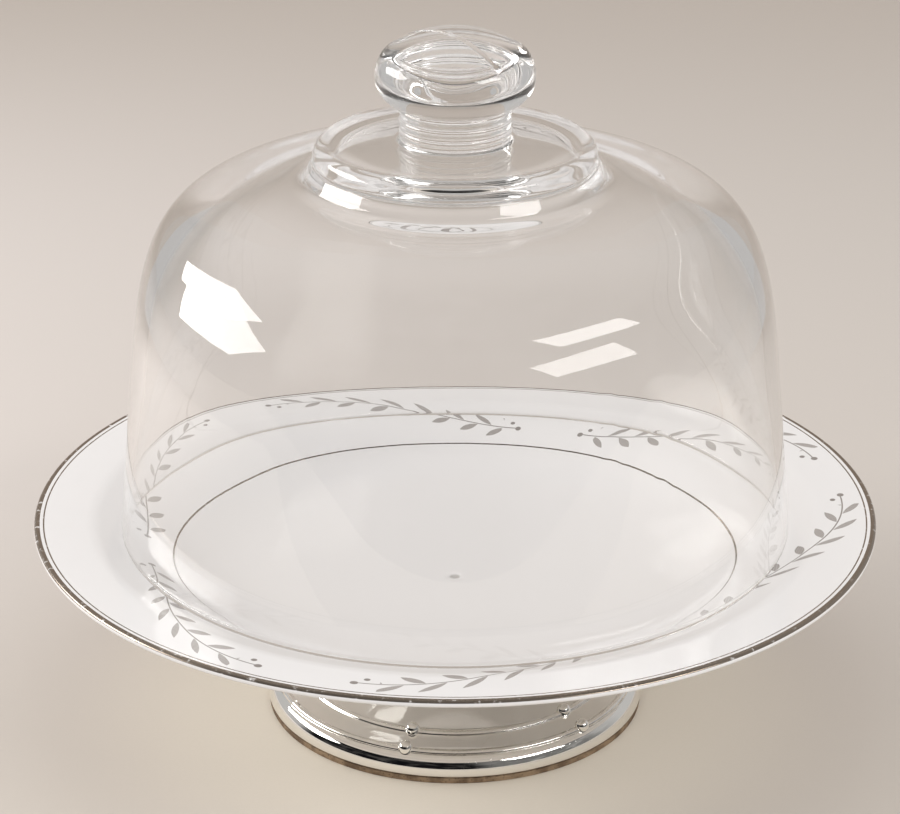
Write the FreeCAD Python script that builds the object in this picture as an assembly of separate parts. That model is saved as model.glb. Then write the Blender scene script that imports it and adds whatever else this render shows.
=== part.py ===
"""Footed cheese plate with a glass dome.

A porcelain plate with a raised flange is cemented to a low flared foot of plated
metal, and a pad covers the underside of the foot.  A clear glass dome, with a
solid collar and knob, rests loose on the sloping ledge of the plate.

Millimetres.  +Z is up and the table is at Z = 0.  Every piece is turned about the
Z axis, and the side that faces the viewer is -Y.
"""
import FreeCAD, Part
import math
import os

# Porcelain plate
plate_radius = 152.4
plate_height = 78.0
plate_depth = 26.4
plate_wall = 4.7
lip_thickness = 2.6
lip_reach = 1.1
flange_width = 21.4
flange_rise = 1.8
flange_wall = 4.0
flange_break = 2.5
ledge_slope = 18.0
well_slope = 33.0
well_side_length = 3.5
ledge_width = 29.8
verge_rounding = 7.0
bend_fullness = 0.60
well_fullness_side = 0.60
well_fullness_floor = 0.75
plate_ring_radius = 38.0
plate_ring_width = 4.6
plate_ring_height = 2.4
dimple_radius = 2.2
dimple_depth = 0.5

# Glass dome
dome_margin = 9.8
dome_wall = 4.2
dome_rest_gap = 0.05
dome_body_height = 127.8
dome_side_taper = 0.097
dome_side_height = 46.4
inner_side_height = 70.0
shoulder_fullness_side = 0.74
shoulder_fullness_crown = 1.0
inner_fullness_side = 0.76
inner_fullness_crown = 0.765
crown_slope = 0.03
crown_wall = 7.0

# Collar, neck and knob, one with the dome
collar_radius = 49.8
collar_height = 13.9
collar_side_height = 7.0
collar_rounding = 5.6
collar_fullness = 0.60
collar_rise = 0.1
collar_flare = 8.2
collar_flare_slope = 61.0
collar_flare_fillet = 2.4
collar_wall = 4.8
ceiling_wall = 8.0
ceiling_rounding = 9.0
ceiling_side_height = 2.1
ceiling_draft = 0.12
ceiling_spread = 12.0
ceiling_fullness = 0.60
neck_radius = 19.3
neck_height = 12.3
neck_fillet = 1.4
neck_ring_count = 3
neck_ring_width = 2.4
neck_ring_proud = 0.4
knob_radius = 27.8
knob_height = 26.6
knob_belly_height = 10.4
knob_cap_radius = 43.3
knob_cap_edge = 23.6
knob_root_rise = 1.8
knob_root_fullness = 0.60
knob_edge_fullness = 0.60
crease_offset = 5.2
crease_turn = -45.0
crease_tube = 0.55
notch_radius = 1.9
notch_lift = 0.95

# Plated foot
foot_radius = 69.6
foot_wall = 1.5
foot_lip = 5.0
foot_edge_height = 1.6
foot_shoulder_height = 10.2
foot_shoulder_slope = 16.0
foot_roll_fullness = 0.62
ring_radius_lower = 65.2
ring_radius_upper = 56.1
ring_tube = 1.15
ring_sink = 0.35
ball_count = 6
ball_radius = 2.6
ball_lift = 0.7
ball_first_angle = -105.6
waist_radius = 29.5
waist_height = 33.0
flare_fullness_low = 0.60
flare_fullness_waist = 0.50
seat_thickness = 3.0
seat_clearance = 1.0
seat_edge_rounding = 1.4
seat_fullness_waist = 0.70
seat_fullness_edge = 0.50

# Pad under the foot
pad_thickness = 2.0
pad_inset = 0.4


def point(radius, height):
    """A point of an outline, in the plane that is turned about the Z axis."""
    return FreeCAD.Vector(radius, 0, height)


def line(start, end):
    """Straight edge between two points."""
    return Part.LineSegment(start, end).toShape()


def arc(start, middle, end):
    """Edge of the circle through three points."""
    return Part.Arc(start, middle, end).toShape()


def corner_curve(start, corner, end, fullness_start, fullness_end):
    """Edge that leaves start towards the corner and arrives at end from the corner."""
    curve = Part.BezierCurve()
    curve.setPoles([
        start,
        start + (corner - start) * fullness_start,
        end + (corner - end) * fullness_end,
        end,
    ])
    return curve.toShape()


def quarter(start, corner, end):
    """Quarter-round edge in the corner of two lines at right angles."""
    centre = start + (end - corner)
    middle = centre + (corner - centre).normalize() * (start - centre).Length
    return arc(start, middle, end)


def crossing(start, direction, other, other_direction):
    """Point where two lines of the outline plane meet."""
    gap = other - start
    turn = direction.x * other_direction.z - direction.z * other_direction.x
    reach = (gap.x * other_direction.z - gap.z * other_direction.x) / turn
    return start + direction * reach


def turned(edges):
    """Solid of revolution of a closed outline."""
    outline = Part.Wire(Part.__sortEdges__(edges))
    face = Part.Face(outline)
    return face.revolve(FreeCAD.Vector(0, 0, 0), FreeCAD.Vector(0, 0, 1), 360)


def heading(slope_degrees):
    """Direction inward and down along a surface of the given slope."""
    slope = math.radians(slope_degrees)
    return point(-math.cos(slope), -math.sin(slope))


# Places that more than one piece uses
break_radius = plate_radius - flange_width
break_height = plate_height - flange_rise
flange_break_point = point(break_radius, break_height)
floor_height = plate_height - plate_depth
seat_height = floor_height - plate_wall
plate_ring_inner = plate_ring_radius - plate_ring_width / 2
dome_radius = break_radius - dome_margin
verge_radius = break_radius - ledge_width


def ledge_height(radius):
    """Height of the sloping ledge that carries the dome."""
    return break_height - (break_radius - radius) * math.tan(math.radians(ledge_slope))


dome_foot_radius = dome_radius - dome_wall / 2
dome_foot_height = (
    ledge_height(dome_foot_radius)
    + dome_wall / 2 / math.cos(math.radians(ledge_slope))
    + dome_rest_gap
)
crown_height = dome_foot_height + dome_body_height
collar_top = crown_height + collar_height
neck_bottom = collar_top + collar_rise
neck_top = neck_bottom + neck_height
knob_top = neck_top + knob_height


def plate():
    """Porcelain plate: flange, sloping ledge, curved well, foot ring and centre dimple."""
    lip_radius = plate_radius - lip_reach
    lip_top = point(lip_radius, plate_height)
    lip_side = point(plate_radius, plate_height - lip_thickness / 2)
    lip_under = point(lip_radius, plate_height - lip_thickness)
    centre_top = point(0, floor_height)
    centre_under = point(0, seat_height)

    flange_direction = (flange_break_point - lip_top).normalize()
    ledge_direction = heading(ledge_slope)
    well_direction = heading(well_slope)
    break_start = flange_break_point - flange_direction * flange_break
    break_end = flange_break_point + ledge_direction * flange_break
    verge_corner_radius = verge_radius + verge_rounding
    verge_corner = point(verge_corner_radius, ledge_height(verge_corner_radius))
    verge_start = verge_corner - ledge_direction * verge_rounding
    verge_end = verge_corner + well_direction * verge_rounding
    side_end = verge_end + well_direction * well_side_length
    floor_corner = crossing(side_end, well_direction, centre_top, point(1, 0))

    half_turn = math.radians((well_slope - ledge_slope) / 2)
    verge_tilt = math.radians((well_slope + ledge_slope) / 2)
    verge_shift = plate_wall / math.cos(half_turn)
    under_corner = verge_corner + point(math.sin(verge_tilt), -math.cos(verge_tilt)) * verge_shift
    under_break = point(break_radius, break_height - flange_wall)
    under_ledge = (under_break - under_corner).normalize()
    under_start = under_corner + under_ledge * verge_rounding
    under_end = under_corner + well_direction * verge_rounding
    under_floor_corner = crossing(under_end, well_direction, centre_under, point(1, 0))
    under_floor = point(plate_ring_radius + plate_ring_width, seat_height)
    break_under_start = under_break + (lip_under - under_break).normalize() * flange_break
    break_under_end = under_break - under_ledge * flange_break

    body = turned([
        line(centre_under, centre_top),
        corner_curve(centre_top, floor_corner, side_end, well_fullness_floor, well_fullness_side),
        line(side_end, verge_end),
        corner_curve(verge_end, verge_corner, verge_start, bend_fullness, bend_fullness),
        line(verge_start, break_end),
        corner_curve(break_end, flange_break_point, break_start, bend_fullness, bend_fullness),
        line(break_start, lip_top),
        arc(lip_top, lip_side, lip_under),
        line(lip_under, break_under_start),
        corner_curve(break_under_start, under_break, break_under_end, bend_fullness, bend_fullness),
        line(break_under_end, under_start),
        corner_curve(under_start, under_corner, under_end, bend_fullness, bend_fullness),
        corner_curve(under_end, under_floor_corner, under_floor, bend_fullness, bend_fullness),
        line(under_floor, centre_under),
    ])

    ring_outer = plate_ring_inner + plate_ring_width
    ring_base = seat_height - plate_ring_height
    ring_round = plate_ring_width / 2
    ring_top = seat_height + plate_wall / 2
    ring = turned([
        line(point(plate_ring_inner, ring_top), point(plate_ring_inner, ring_base + ring_round)),
        arc(
            point(plate_ring_inner, ring_base + ring_round),
            point(plate_ring_radius, ring_base),
            point(ring_outer, ring_base + ring_round),
        ),
        line(point(ring_outer, ring_base + ring_round), point(ring_outer, ring_top)),
        line(point(ring_outer, ring_top), point(plate_ring_inner, ring_top)),
    ])

    ball = (dimple_radius ** 2 + dimple_depth ** 2) / (2 * dimple_depth)
    dimple = Part.makeSphere(ball, FreeCAD.Vector(0, 0, floor_height - dimple_depth + ball))
    return body.fuse(ring).cut(dimple).removeSplitter()


def neck_edges():
    """Edges of the neck from the collar to the knob, with its low rings."""
    pitch = (neck_height - neck_fillet) / neck_ring_count
    edges = []
    here = point(neck_radius, neck_bottom + neck_fillet)
    for index in range(neck_ring_count):
        middle = neck_bottom + neck_fillet + pitch * (index + 0.5)
        low = point(neck_radius, middle - neck_ring_width / 2)
        crest = point(neck_radius + neck_ring_proud, middle)
        high = point(neck_radius, middle + neck_ring_width / 2)
        edges.append(line(here, low))
        edges.append(arc(low, crest, high))
        here = high
    edges.append(line(here, point(neck_radius, neck_top)))
    return edges


def knob_edges():
    """Edges of the knob: the flared underside, the belly, the edge and the domed cap."""
    belly = point(knob_radius, neck_top + knob_belly_height)
    cap_centre = knob_top - knob_cap_radius

    def cap(radius):
        return point(radius, cap_centre + math.sqrt(knob_cap_radius ** 2 - radius ** 2))

    edge = cap(knob_cap_edge)
    edge_direction = point(edge.z - cap_centre, -edge.x)
    upper_corner = crossing(belly, point(0, 1), edge, edge_direction)
    lower_corner = point(knob_radius, neck_top + knob_root_rise)
    return [
        corner_curve(
            point(neck_radius, neck_top), lower_corner, belly, knob_root_fullness, knob_root_fullness
        ),
        corner_curve(belly, upper_corner, edge, knob_edge_fullness, knob_edge_fullness),
        arc(edge, cap(knob_cap_edge / 2), point(0, knob_top)),
    ]


def crease_cutters():
    """Round groove across the knob's cap, and the notch at each of its ends."""
    turn = math.radians(crease_turn)
    across = FreeCAD.Vector(math.sin(turn), -math.cos(turn), 0)
    along = FreeCAD.Vector(math.cos(turn), math.sin(turn), 0)
    groove_radius = math.sqrt(knob_cap_radius ** 2 - crease_offset ** 2)
    centre = across * crease_offset + FreeCAD.Vector(0, 0, knob_top - knob_cap_radius)
    knob_space = Part.makeCylinder(
        knob_radius + crease_tube, knob_height + crease_tube, FreeCAD.Vector(0, 0, neck_top)
    )
    groove = Part.makeTorus(groove_radius, crease_tube, centre, across).common(knob_space)
    reach = math.sqrt(knob_cap_edge ** 2 - crease_offset ** 2) + notch_radius
    notch_height = math.sqrt(groove_radius ** 2 - reach ** 2) + notch_lift
    notches = [
        Part.makeSphere(
            notch_radius, centre + along * (side * reach) + FreeCAD.Vector(0, 0, notch_height)
        )
        for side in (-1, 1)
    ]
    return [groove] + notches


def glass_dome():
    """Clear glass dome with a rounded foot, thick crown, collar, ringed neck and knob."""
    taper = point(-dome_side_taper, 1)
    outer_foot = point(dome_radius, dome_foot_height)
    inner_foot = point(dome_radius - dome_wall, dome_foot_height)
    foot_bottom = point(dome_foot_radius, dome_foot_height - dome_wall / 2)
    outer_side = outer_foot + taper * dome_side_height
    inner_side = inner_foot + taper * inner_side_height
    root = point(collar_radius + collar_flare, crown_height)
    crown_direction = point(1, -crown_slope)
    outer_corner = crossing(outer_side, taper, root, crown_direction)

    ceiling_height = collar_top - ceiling_wall
    ceiling_radius = collar_radius - collar_wall
    ceiling = point(0, ceiling_height)
    ceiling_start = point(ceiling_radius - ceiling_rounding, ceiling_height)
    ceiling_side = point(ceiling_radius, crown_height + ceiling_side_height)
    ceiling_direction = point(-ceiling_draft, 1)
    ceiling_corner = crossing(ceiling_start, point(1, 0), ceiling_side, ceiling_direction)
    ceiling_edge = point(ceiling_radius + ceiling_spread, crown_height - crown_wall)
    ceiling_foot = crossing(ceiling_side, ceiling_direction, ceiling_edge, crown_direction)
    inner_corner = crossing(inner_side, taper, ceiling_edge, crown_direction)

    flare = math.radians(collar_flare_slope)
    flare_direction = point(-math.cos(flare), math.sin(flare))
    collar_side = point(collar_radius, crown_height + collar_side_height)
    flare_corner = crossing(collar_side, flare_direction, root, crown_direction)
    flare_end = flare_corner + flare_direction * collar_flare_fillet
    collar_edge = point(collar_radius - collar_rounding, collar_top)
    neck_corner = point(neck_radius, neck_bottom)
    neck_start = point(neck_radius + neck_fillet, neck_bottom)
    neck_end = point(neck_radius, neck_bottom + neck_fillet)
    collar_corner = crossing(collar_side, point(0, 1), collar_edge, neck_start - collar_edge)

    outline = [
        arc(inner_foot, foot_bottom, outer_foot),
        line(outer_foot, outer_side),
        corner_curve(outer_side, outer_corner, root, shoulder_fullness_side, shoulder_fullness_crown),
        corner_curve(root, flare_corner, flare_end, collar_fullness, collar_fullness),
        line(flare_end, collar_side),
        corner_curve(collar_side, collar_corner, collar_edge, collar_fullness, collar_fullness),
        line(collar_edge, neck_start),
        quarter(neck_start, neck_corner, neck_end),
    ]
    outline += neck_edges()
    outline += knob_edges()
    outline += [
        line(point(0, knob_top), ceiling),
        line(ceiling, ceiling_start),
        corner_curve(ceiling_start, ceiling_corner, ceiling_side, ceiling_fullness, ceiling_fullness),
        corner_curve(ceiling_side, ceiling_foot, ceiling_edge, ceiling_fullness, ceiling_fullness),
        corner_curve(ceiling_edge, inner_corner, inner_side, inner_fullness_crown, inner_fullness_side),
        line(inner_side, inner_foot),
    ]
    return turned(outline).cut(crease_cutters())


def shoulder_height(radius):
    """Height of the foot's gently sloping shoulder, which carries the two rings."""
    slope = math.tan(math.radians(foot_shoulder_slope))
    return foot_shoulder_height + (ring_radius_lower - radius) * slope


def foot_outline(skin):
    """Outer line of the foot, from its bottom edge to its seat, moved inward by skin."""
    side = foot_radius - skin
    low = point(side, pad_thickness + foot_edge_height)
    shoulder_start = point(ring_radius_lower, shoulder_height(ring_radius_lower) - skin)
    roll_corner = point(side, shoulder_height(side) - skin)
    shoulder_end = point(ring_radius_upper, shoulder_height(ring_radius_upper) - skin)
    waist = point(waist_radius - skin, waist_height)
    flare_corner = point(waist_radius - skin, shoulder_height(waist_radius - skin) - skin)
    return low, waist, [
        corner_curve(low, roll_corner, shoulder_start, foot_roll_fullness, foot_roll_fullness),
        line(shoulder_start, shoulder_end),
        corner_curve(shoulder_end, flare_corner, waist, flare_fullness_low, flare_fullness_waist),
    ]


def ornament():
    """The two raised rings and the small balls that sit on them at even steps."""
    pieces = []
    for radius in (ring_radius_lower, ring_radius_upper):
        height = shoulder_height(radius)
        pieces.append(Part.makeTorus(radius, ring_tube, FreeCAD.Vector(0, 0, height - ring_sink)))
        for index in range(ball_count):
            angle = math.radians(ball_first_angle + 360 / ball_count * index)
            centre = FreeCAD.Vector(radius * math.cos(angle), radius * math.sin(angle), height + ball_lift)
            pieces.append(Part.makeSphere(ball_radius, centre))
    return pieces


def foot():
    """Hollow flared foot with a seat for the plate, and its raised rings and balls."""
    seat_radius = plate_ring_inner - seat_clearance
    seat_under = seat_height - seat_thickness
    low, waist, outer = foot_outline(0)
    inner_low, inner_waist, inner = foot_outline(foot_wall)
    bottom_edge = point(foot_radius - foot_edge_height, pad_thickness)
    lip_edge = point(foot_radius - foot_lip, pad_thickness)
    lip_top = point(foot_radius - foot_lip, pad_thickness + foot_edge_height)
    seat_side = point(seat_radius, seat_under + seat_edge_rounding)
    seat_bottom = point(seat_radius - seat_edge_rounding, seat_under)
    seat_top_side = point(seat_radius, seat_height - seat_edge_rounding)
    seat_top = point(seat_radius - seat_edge_rounding, seat_height)
    neck_corner = point(waist_radius, seat_under)
    hollow_corner = point(waist_radius - foot_wall, seat_under)
    hollow_top = point(waist_radius - foot_wall, seat_under - foot_wall)
    hollow_end = point(0, seat_under - foot_wall)
    body = turned(
        [
            line(lip_edge, bottom_edge),
            quarter(bottom_edge, point(foot_radius, pad_thickness), low),
        ]
        + outer
        + [
            corner_curve(waist, neck_corner, seat_bottom, seat_fullness_waist, seat_fullness_edge),
            quarter(seat_bottom, point(seat_radius, seat_under), seat_side),
            line(seat_side, seat_top_side),
            quarter(seat_top_side, point(seat_radius, seat_height), seat_top),
            line(seat_top, point(0, seat_height)),
            line(point(0, seat_height), hollow_end),
            line(hollow_end, hollow_top),
            line(hollow_top, inner_waist),
        ]
        + inner
        + [
            line(inner_low, lip_top),
            line(lip_top, lip_edge),
        ]
    )
    return body.fuse(ornament()).removeSplitter()


def base_pad():
    """Flat pad that covers the underside of the foot."""
    return Part.makeCylinder(foot_radius - pad_inset, pad_thickness)


def main():
    os.makedirs("parts", exist_ok=True)
    pieces = {
        "plate": plate(),
        "glass_dome": glass_dome(),
        "foot": foot(),
        "base_pad": base_pad(),
    }
    for name, shape in pieces.items():
        shape.exportStep("parts/" + name + ".step")
        box = shape.BoundBox
        print(name, "valid", shape.isValid(), "solids", len(shape.Solids),
              "volume", round(shape.Volume), "z", round(box.ZMin, 2), round(box.ZMax, 2),
              "x", round(box.XMin, 2), round(box.XMax, 2))


main()
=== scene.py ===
"""Looks of a footed porcelain cheese plate with a glass dome.

Sizes are millimetres where they are named and metres once they are in a mesh.  +Z is
up, the table is at Z = 0 and the photographed side is -Y.  Every piece is a surface
worked out on a grid of two parameters and placed by its mesh alone.
"""
import math

import bpy
import numpy as np
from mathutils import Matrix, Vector


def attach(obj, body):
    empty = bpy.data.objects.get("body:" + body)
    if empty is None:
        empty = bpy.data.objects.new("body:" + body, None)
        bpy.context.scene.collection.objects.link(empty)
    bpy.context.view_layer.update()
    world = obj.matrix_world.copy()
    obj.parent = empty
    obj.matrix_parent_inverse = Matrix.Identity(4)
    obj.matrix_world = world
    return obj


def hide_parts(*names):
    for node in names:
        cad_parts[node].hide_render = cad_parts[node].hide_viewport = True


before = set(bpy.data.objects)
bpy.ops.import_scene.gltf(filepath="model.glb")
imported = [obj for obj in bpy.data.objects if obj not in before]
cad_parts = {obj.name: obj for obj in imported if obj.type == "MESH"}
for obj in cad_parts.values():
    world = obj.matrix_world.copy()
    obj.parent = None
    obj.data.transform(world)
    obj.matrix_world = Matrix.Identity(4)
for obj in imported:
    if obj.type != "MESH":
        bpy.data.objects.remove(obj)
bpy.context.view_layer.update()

MM = 0.001
scene = bpy.context.scene

# Porcelain plate
plate_radius = 152.4
plate_height = 78.0
plate_depth = 26.4
plate_wall = 4.7
lip_thickness = 2.6
lip_reach = 1.1
flange_width = 21.4
flange_rise = 1.8
flange_wall = 4.0
flange_break = 2.5
ledge_slope = 18.0
well_slope = 33.0
well_side_length = 3.5
ledge_width = 29.8
verge_rounding = 7.0
bend_fullness = 0.60
well_fullness_side = 0.60
well_fullness_floor = 0.75
plate_ring_radius = 38.0
plate_ring_width = 4.6
plate_ring_height = 2.4
dimple_radius = 2.2
dimple_depth = 0.5

# Glass dome
dome_margin = 9.8
dome_wall = 4.2
dome_rest_gap = 0.05
dome_body_height = 127.8
dome_side_taper = 0.097
dome_side_height = 46.4
inner_side_height = 57.7
inner_side_taper = 0.14
shoulder_fullness_side = 0.74
shoulder_fullness_crown = 1.0
inner_fullness_side = 0.52
inner_fullness_crown = 0.975
crown_slope = 0.03
crown_wall = 7.0

# Collar, neck and knob
collar_radius = 49.8
collar_height = 13.9
collar_side_height = 7.0
collar_rounding = 5.6
collar_fullness = 0.60
collar_rise = 0.1
collar_flare = 8.2
collar_flare_slope = 64.0
collar_flare_fillet = 1.4
collar_wall = 4.8
ceiling_wall = 8.0
ceiling_rounding = 9.0
ceiling_side_height = 2.1
ceiling_draft = 0.12
ceiling_spread = 12.0
ceiling_fullness = 0.60
neck_radius = 19.3
neck_height = 12.3
neck_fillet = 1.4
neck_ring_count = 3
neck_ring_width = 2.4
neck_ring_proud = 0.4
knob_radius = 27.8
knob_height = 26.6
knob_belly_height = 10.4
knob_cap_radius = 43.3
knob_cap_edge = 23.6
knob_root_rise = 1.8
knob_fullness = 0.60
crease_offset = 5.2
crease_turn = -45.0
crease_tube = 0.80
crease_slices = [0.06, 0.13, 0.2, 0.27, 0.34, 0.41, 0.48, 0.56, 0.7, 0.9, 1.2, 1.6]
notch_radius = 1.9
notch_lift = 0.95

# Plated foot
foot_radius = 69.6
foot_wall = 1.5
foot_lip = 5.0
foot_edge_height = 1.6
foot_shoulder_height = 10.2
foot_shoulder_slope = 16.0
foot_roll_fullness = 0.62
ring_radius_lower = 65.2
ring_radius_upper = 56.1
ring_tube = 1.15
ring_sink = 0.35
ring_join = 0.02
ball_count = 6
ball_radius = 2.6
ball_lift = 0.7
ball_first_angle = -105.6
waist_radius = 29.5
waist_height = 33.0
flare_fullness_low = 0.60
flare_fullness_waist = 0.50
seat_thickness = 3.0
seat_clearance = 1.0
seat_edge_rounding = 1.4
seat_fullness_waist = 0.70
seat_fullness_edge = 0.50
tarnish_reach = 0.45

# Pad under the foot
pad_thickness = 2.0
pad_inset = 0.4
pad_edge_rounding = 0.3

# Lines on the glaze
glaze_side_slope = 0.11
glaze_edge_depth = 2.0
glaze_edge_soft = 0.2
rim_band_width = 2.1
rim_band_past = 1.0
rim_band_depth = 0.75
rim_band_soft = 0.1
rim_line_inset = 3.5
rim_line_width = 0.5
verge_line_width = 0.56
line_soft = 0.06
# Softness of the painted shade that darkens the glaze in the dimple's hollow
dimple_shade_soft = 0.8

# Leafy sprays on the glaze
spray_count = 6
spray_turn = 0.35
spray_middle = 126.0
stem_half_length = 50.0
stem_sweep = 15.5
stem_width = 0.26
stem_soft = 0.1
stem_end_soft = 0.4
leaf_pitch = 12.5
leaf_stagger = 0.25
leaf_half_length = 5.0
leaf_half_width = 1.35
leaf_slant = 0.62
leaf_stand = 3.3
leaf_soft = 0.08
leaf_end_soft = 0.3
rib_turns = 7.5
berry_radius = 1.25
berry_small_share = 0.8

# Camera, floor and softboxes, in metres and degrees
camera_place = Vector((0.0, -0.96964, 0.52281))
camera_aim = Vector((-0.00173875, 0.921893, -0.38744068))
camera_lens = 116.9
camera_sensor = 36.0
sweep_front = -0.5
sweep_back = 1.6
sweep_bend = 0.6
sweep_top = 2.4
sweep_half_width = 1.2
card_target = np.array([0.0, -0.08, 0.18])
card_distance = 1.15
left_card_corners = [(-127, 15.5), (-101, 29.6), (-77, 20.5), (-91, 11.0), (-121, 8.0)]
left_card_strength = 10.0
upper_card_corners = [(30.3, 30.9), (69.4, 31.7), (74.8, 21.6), (39.7, 22.7)]
upper_card_strength = 9.0
light_bounces = 40

# Places that more than one piece uses
break_radius = plate_radius - flange_width
break_height = plate_height - flange_rise
floor_height = plate_height - plate_depth
seat_height = floor_height - plate_wall
verge_radius = break_radius - ledge_width
dome_radius = break_radius - dome_margin
ledge_fall = math.tan(math.radians(ledge_slope))
dome_foot_radius = dome_radius - dome_wall / 2
dome_foot_height = (
    break_height - (break_radius - dome_foot_radius) * ledge_fall
    + dome_wall / 2 / math.cos(math.radians(ledge_slope)) + dome_rest_gap
)
crown_height = dome_foot_height + dome_body_height
collar_top = crown_height + collar_height
neck_bottom = collar_top + collar_rise
neck_top = neck_bottom + neck_height
knob_top = neck_top + knob_height


# Outlines

def spot(radius, height):
    """A point of an outline."""
    return np.array([radius, height], float)


def straight(start, end, count=2):
    """Points of a line, closer together towards its two ends."""
    t = (1 - np.cos(np.linspace(0, np.pi, count))) / 2
    return start + np.outer(t, end - start)


def bend(start, corner, end, fullness_start, fullness_end, count):
    """Cubic Bezier curve that leaves start towards the corner and reaches end from the corner."""
    t = np.linspace(0, 1, count)[:, None]
    first = start + (corner - start) * fullness_start
    last = end + (corner - end) * fullness_end
    u = 1 - t
    return u ** 3 * start + 3 * u ** 2 * t * first + 3 * u * t ** 2 * last + t ** 3 * end


def quarter(start, corner, end, count):
    """Quarter ellipse in the corner: centre + (start - centre) cos a + (end - centre) sin a."""
    centre = start + end - corner
    a = np.linspace(0, np.pi / 2, count)
    return centre + np.outer(np.cos(a), start - centre) + np.outer(np.sin(a), end - centre)


def swell(start, crest, end, count):
    """Arc of the circle through start, crest and end."""
    ax, az = start
    bx, bz = crest
    cx, cz = end
    d = 2 * (ax * (bz - cz) + bx * (cz - az) + cx * (az - bz))
    ux = ((ax ** 2 + az ** 2) * (bz - cz) + (bx ** 2 + bz ** 2) * (cz - az)
          + (cx ** 2 + cz ** 2) * (az - bz)) / d
    uz = ((ax ** 2 + az ** 2) * (cx - bx) + (bx ** 2 + bz ** 2) * (ax - cx)
          + (cx ** 2 + cz ** 2) * (bx - ax)) / d
    centre = spot(ux, uz)
    angles = np.unwrap([math.atan2(*(p - centre)[::-1]) for p in (start, crest, end)])
    a = np.linspace(angles[0], angles[2], count)
    radius = np.linalg.norm(start - centre)
    return centre + radius * np.stack([np.cos(a), np.sin(a)], 1)


def crossing(start, direction, other, other_direction):
    """Point where two lines of the outline plane meet."""
    reach = np.linalg.solve(np.stack([direction, -other_direction], 1), other - start)
    return start + direction * reach[0]


def joined(*runs):
    """One outline from runs that meet end to start."""
    points = np.vstack(runs)
    step = np.linalg.norm(np.diff(points, axis=0), axis=1)
    return points[np.concatenate([[True], step > 1e-4])]


def unit(v):
    """The vector at length 1."""
    return v / np.linalg.norm(v)


def outline_normals(points):
    """Unit normals of an outline, on its right-hand side, from the neighbours of each point."""
    tangent = np.gradient(points, axis=0)
    normal = np.stack([tangent[:, 1], -tangent[:, 0]], 1)
    return normal / np.linalg.norm(normal, axis=1)[:, None]


# Meshes

def ring_points(outline, angles):
    """Grid of points (r cos a, r sin a, z) for each outline point and each angle."""
    r, z = outline[:, 0], outline[:, 1]
    return np.stack([
        np.outer(r, np.cos(angles)),
        np.outer(r, np.sin(angles)),
        np.repeat(z[:, None], len(angles), 1),
    ], -1)


def band_faces(first, rows, columns):
    """Four-sided faces between neighbouring rings that start at vertex number first."""
    row = np.arange(rows - 1)[:, None] * columns + first
    here = np.arange(columns)[None, :]
    there = (here + 1) % columns
    faces = np.stack([row + here, row + there, row + columns + there, row + columns + here], -1)
    return faces.reshape(-1, 4)


def fan_faces(pole, ring_first, columns, turn):
    """Triangles from a pole to the ring that starts at ring_first, in the given sense."""
    here = ring_first + np.arange(columns)
    there = ring_first + (np.arange(columns) + 1) % columns
    faces = np.stack([np.full(columns, pole), there, here], -1)
    return faces if turn > 0 else faces[:, ::-1]


def turned(outline, columns):
    """Closed surface of revolution of an outline that starts and ends on the axis.

    The first and last outline points become poles and the others become rings.
    """
    angles = np.linspace(0, 2 * np.pi, columns, endpoint=False)
    rings = outline[1:-1]
    points = ring_points(rings, angles).reshape(-1, 3)
    low, high = len(points), len(points) + 1
    points = np.vstack([points, [0, 0, outline[0, 1]], [0, 0, outline[-1, 1]]])
    faces = band_faces(0, len(rings), columns).tolist()
    faces += fan_faces(low, 0, columns, 1).tolist()
    faces += fan_faces(high, (len(rings) - 1) * columns, columns, -1).tolist()
    return points, faces


def signed_volume(points, faces):
    """Sum over the faces, as fans of triangles, of a . (b x c) / 6."""
    total = 0.0
    for size in (3, 4):
        chosen = np.array([f for f in faces if len(f) == size], int).reshape(-1, size)
        for k in range(1, size - 1):
            a, b, c = points[chosen[:, 0]], points[chosen[:, k]], points[chosen[:, k + 1]]
            total += np.einsum("ij,ij->", a, np.cross(b, c)) / 6
    return total


def mesh_object(name, points, faces, material):
    """Mesh object at the origin, in the scene."""
    mesh = bpy.data.meshes.new(name)
    mesh.from_pydata(points.tolist(), [], faces)
    mesh.materials.append(material)
    made = bpy.data.objects.new(name, mesh)
    scene.collection.objects.link(made)
    return made


def piece(name, shells, material, node):
    """One smooth mesh object from closed shells, each turned to face outwards."""
    points, faces, start = [], [], 0
    for shell_points, shell_faces in shells:
        if signed_volume(shell_points, shell_faces) < 0:
            shell_faces = [face[::-1] for face in shell_faces]
        faces += [[index + start for index in face] for face in shell_faces]
        points.append(shell_points)
        start += len(shell_points)
    made = mesh_object(name, np.vstack(points) * MM, faces, material)
    made.data.shade_smooth()
    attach(made, "root")
    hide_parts(node)
    return made


# Porcelain plate

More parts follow.
